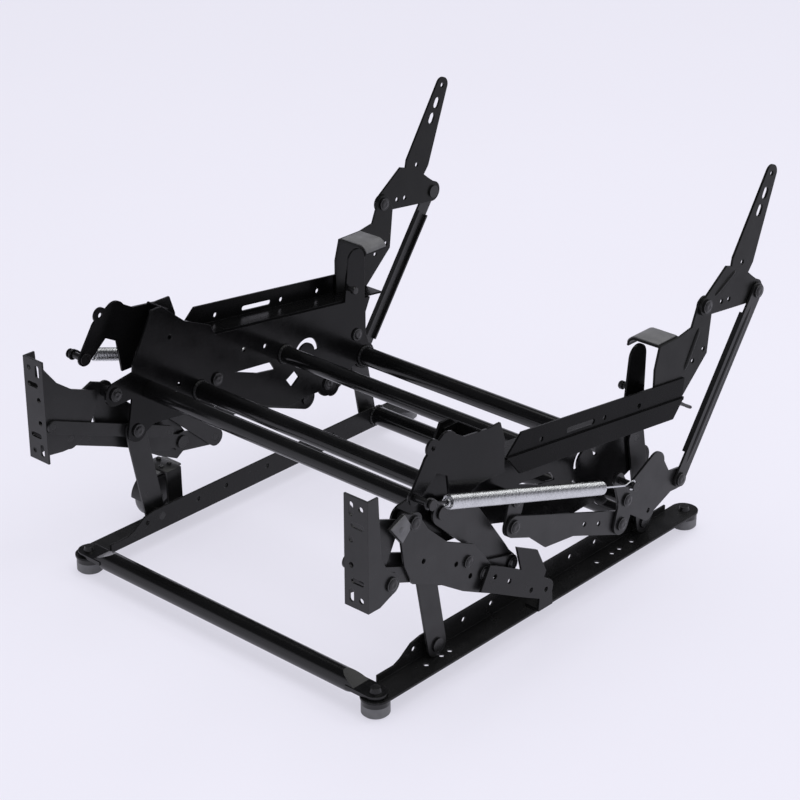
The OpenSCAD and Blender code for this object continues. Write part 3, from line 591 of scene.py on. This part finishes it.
def castor():
    """The transport castor outside the left rail, on a bent arm from the rail's flange."""
    x, y, z, r = -285.0, 150.0, 27.0, 27.0
    axle, across, upright = at(x, y, z), (1, 0, 0), (0, 0, 1)
    tread = [(-8, 18), (-9.5, 19), (-9.5, 22.5), (-8, 25.4), (-4, r),
             (4, r), (8, 25.4), (9.5, 22.5), (9.5, 19), (8, 18), (-8, 18)]
    tyre = Shape()
    tyre.turned(axle, across, tread, 48)
    tyre.ride("castor_tyre", GREY, "base")

    half = [(13.5, 0), (13.5, 4), (12, 5), (9, 5), (8.4, 8), (6.5, 9), (6.5, 16), (8.6, 18.4)]
    hub = Shape()
    hub.turned(axle, across, [(-a, b) for a, b in half] + half[::-1], 40)
    arc = [math.radians(10 + 165 * k / 20) for k in range(21)]

    def hood(radius):
        return [(y + 3 + radius * math.cos(a), z + radius * math.sin(a)) for a in arc]

    band_x, band_w, cheek_w = x - 12.5, 25, 2.2
    band = hood(31.5) + hood(28.5)[::-1]
    hub.slab([at(band_x, *p) for p in band], Vector((band_w * MM, 0, 0)), 0.6)
    cheek = hood(31) + [(y - 6, z - 5), (y + 7, z - 6)]
    for cheek_x in (x - 12.6, x + 10.4):
        hub.slab([at(cheek_x, *p) for p in cheek], Vector((cheek_w * MM, 0, 0)), 0.5)
    hub.turned(at(x, y + 12, 55), upright, [(0, 0), (0, 11), (4, 9), (8, 8), (8, 0)])
    hub.ride("castor_fork", BLACK, "base")

    wide, plate_z, plate_t = 16, 62, 3
    ends = [(x - wide, y - 10), (x + wide, y - 10), (x + wide, y + 34), (x - wide, y + 34)]
    plate = Shape()
    plate.slab([at(a, b, plate_z) for a, b in ends], Vector((0, 0, plate_t * MM)), 0.6)
    plate.ride("castor_plate", GREY, "base")

    arm_w = 24
    bend = [(-238, 22.3), (-238, 25.4), (-258, 25.4), (-258, 68), (x - wide, 68), (x - wide, 64.9),
            (-261, 64.9), (-261, 22.3)]
    rivet = [(0, 0), (0, 3.6), (1.6, 3.4), (2.4, 2.0), (2.5, 0)]
    arm = Shape()
    arm.slab([at(a, y, b) for a, b in bend], Vector((0, arm_w * MM, 0)), 0.5)
    for a, b in ((x - 10, y + 5), (x - 10, y + 19), (x + 10, y + 5), (x + 10, y + 19)):
        arm.turned(at(a, b, 67.9), upright, rivet)
    arm.ride("castor_arm", STEEL, "base")


for side, s in SIDES:
    spring(side, s)
    swing_pad(side, s)
    stop_pad(side, s)
    finger_stud(side, s)
    pressed_ribs(side, s)
rail_bail("right", 1)
pin_ends()
welds()
castor()


# Stage, light and camera
FLOOR_GLOW = 0.62
# How high a direction may point before the backdrop turns to ceiling, and where the ceiling is full
BACKDROP_TOP, CEILING = 0.22, 0.42


def floor():
    """A wide pale floor that fills the view and glows a little, so that its shadows stay soft."""
    bm = bmesh.new()
    bmesh.ops.create_grid(bm, x_segments=1, y_segments=1, size=30.0)
    mesh = bpy.data.meshes.new("floor")
    bm.to_mesh(mesh)
    bm.free()
    obj = bpy.data.objects.new("floor", mesh)
    obj.location.z = -0.0005
    scene.collection.objects.link(obj)
    g = Graph("pale_floor")
    g.link(g.tone(0.9, (0.805, 0.795, 0.890), (0.835, 0.825, 0.920)), "Color", g.bsdf, "Base Color")
    g.bsdf.inputs["Roughness"].default_value = 0.75
    g.bsdf.inputs["Specular IOR Level"].default_value = 0.12
    glow = g.add("ShaderNodeEmission")
    glow.inputs["Color"].default_value = (0.905, 0.890, 1.0, 1.0)
    glow.inputs["Strength"].default_value = 1.0
    path = g.add("ShaderNodeLightPath")
    seen = g.add("ShaderNodeMath", operation="MAXIMUM")
    g.link(path, "Is Camera Ray", seen, 0)
    g.link(path, "Is Glossy Ray", seen, 1)
    share = g.add("ShaderNodeMath", operation="MULTIPLY")
    share.inputs[1].default_value = FLOOR_GLOW
    g.link(seen, "Value", share, 0)
    pick = g.add("ShaderNodeMixShader")
    g.link(share, "Value", pick, "Fac")
    g.link(g.bsdf, "BSDF", pick, 1)
    g.link(glow, "Emission", pick, 2)
    g.link(pick, "Shader", g.out, "Surface")
    obj.data.materials.append(g.mat)


def world():
    """Even light from all round; the camera and gloss see a pale backdrop under a dark ceiling."""
    scene.world = bpy.data.worlds.new("studio")
    scene.world.use_nodes = True
    tree = scene.world.node_tree
    tree.nodes.clear()
    out = tree.nodes.new("ShaderNodeOutputWorld")
    light = tree.nodes.new("ShaderNodeBackground")
    light.inputs["Color"].default_value = (1.0, 1.0, 1.0, 1.0)
    light.inputs["Strength"].default_value = 0.55
    coord = tree.nodes.new("ShaderNodeTexCoord")
    split = tree.nodes.new("ShaderNodeSeparateXYZ")
    tree.links.new(coord.outputs["Generated"], split.inputs["Vector"])
    ramp = tree.nodes.new("ShaderNodeValToRGB")
    first, last = ramp.color_ramp.elements
    first.position, first.color = BACKDROP_TOP, (0.770, 0.760, 0.848, 1.0)
    last.position, last.color = CEILING, (0.06, 0.06, 0.068, 1.0)
    tree.links.new(split.outputs["Z"], ramp.inputs["Fac"])
    seen = tree.nodes.new("ShaderNodeBackground")
    seen.inputs["Strength"].default_value = 1.0
    tree.links.new(ramp.outputs["Color"], seen.inputs["Color"])
    path = tree.nodes.new("ShaderNodeLightPath")
    either = tree.nodes.new("ShaderNodeMath")
    either.operation = "MAXIMUM"
    tree.links.new(path.outputs["Is Camera Ray"], either.inputs[0])
    tree.links.new(path.outputs["Is Glossy Ray"], either.inputs[1])
    pick = tree.nodes.new("ShaderNodeMixShader")
    tree.links.new(either.outputs["Value"], pick.inputs["Fac"])
    tree.links.new(light.outputs["Background"], pick.inputs[1])
    tree.links.new(seen.outputs["Background"], pick.inputs[2])
    tree.links.new(pick.outputs["Shader"], out.inputs["Surface"])


def lamp(name, kind, place, aim, energy, **values):
    data = bpy.data.lights.new(name, kind)
    data.energy = energy
    for key, value in values.items():
        setattr(data, key, value)
    obj = bpy.data.objects.new(name, data)
    obj.location = place
    obj.rotation_euler = (Vector(aim) - Vector(place)).to_track_quat("-Z", "Y").to_euler()
    scene.collection.objects.link(obj)


def camera():
    """The photograph's viewpoint: azimuth 42 degrees, 25.4 degrees down, a long lens."""
    data = bpy.data.cameras.new("camera")
    data.sensor_width = 36.0
    data.sensor_fit = "HORIZONTAL"
    data.lens = 100.9
    data.clip_end = 100.0
    obj = bpy.data.objects.new("camera", data)
    right = Vector((0.7431, 0.6691, 0.0))
    up = Vector((-0.2870, 0.3187, 0.9033))
    turn = Matrix((right, up, right.cross(up))).transposed().to_4x4()
    obj.matrix_world = Matrix.Translation(at(1648.19, -1527.02, 1366.85)) @ turn
    scene.collection.objects.link(obj)
    scene.camera = obj


floor()
world()
lamp("key_sun", "SUN", (-0.6, 1.2, 2.6), (0, 0, 0), 0.55, angle=math.radians(45))
lamp("top_box", "AREA", (0.5, 0.2, 3.4), (0, 0, 0.2), 30.0,
     shape="RECTANGLE", size=2.0, size_y=2.0)
lamp("back_box", "AREA", (1.8, 2.55, 2.85), (0, 0, 0.2), 18.0,
     shape="RECTANGLE", size=1.8, size_y=1.2)
camera()
scene.view_settings.view_transform = "Standard"
